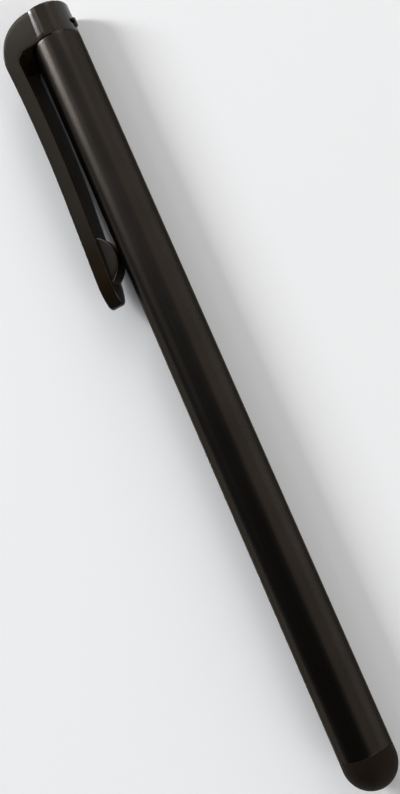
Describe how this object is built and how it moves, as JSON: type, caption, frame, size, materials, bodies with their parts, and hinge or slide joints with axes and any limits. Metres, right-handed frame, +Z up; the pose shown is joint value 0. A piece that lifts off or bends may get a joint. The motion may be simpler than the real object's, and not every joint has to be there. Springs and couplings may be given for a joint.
{
  "type": "stylus pen",
  "caption": "Slim touch-screen stylus pen: straight metal tube with a rounded rubber nib at one end and a moulded cap with a springy pocket clip at the other.",
  "frame": {"origin": "on the surface the pen lies on, under the middle of the pen's bounding box", "axes": "+X along the tube towards the rubber nib, -Y towards the clip, +Z up, pen lying on its side"},
  "size_m": [0.11, 0.0116, 0.007],
  "materials": {
    "barrel_metal": "satin black anodised",
    "cap_plastic": "gloss, moulded",
    "nib_rubber": "matte",
    "core_plastic": "moulded"
  },
  "bodies": {
    "pen": {"barrel": "barrel_metal", "cap": "cap_plastic", "nib": "nib_rubber", "nib_core": "core_plastic"},
    "clip_arm": {"clip": "cap_plastic"}
  },
  "joints": [
    {"name": "clip_flex", "type": "hinge", "parent": "pen", "child": "clip_arm", "pos_m": [-0.04457, -0.00486, 0.0035], "axis": [0, 0, -1], "range_deg": [0, 6], "stiffness_Nm_per_rad": 0.75}
  ]
}
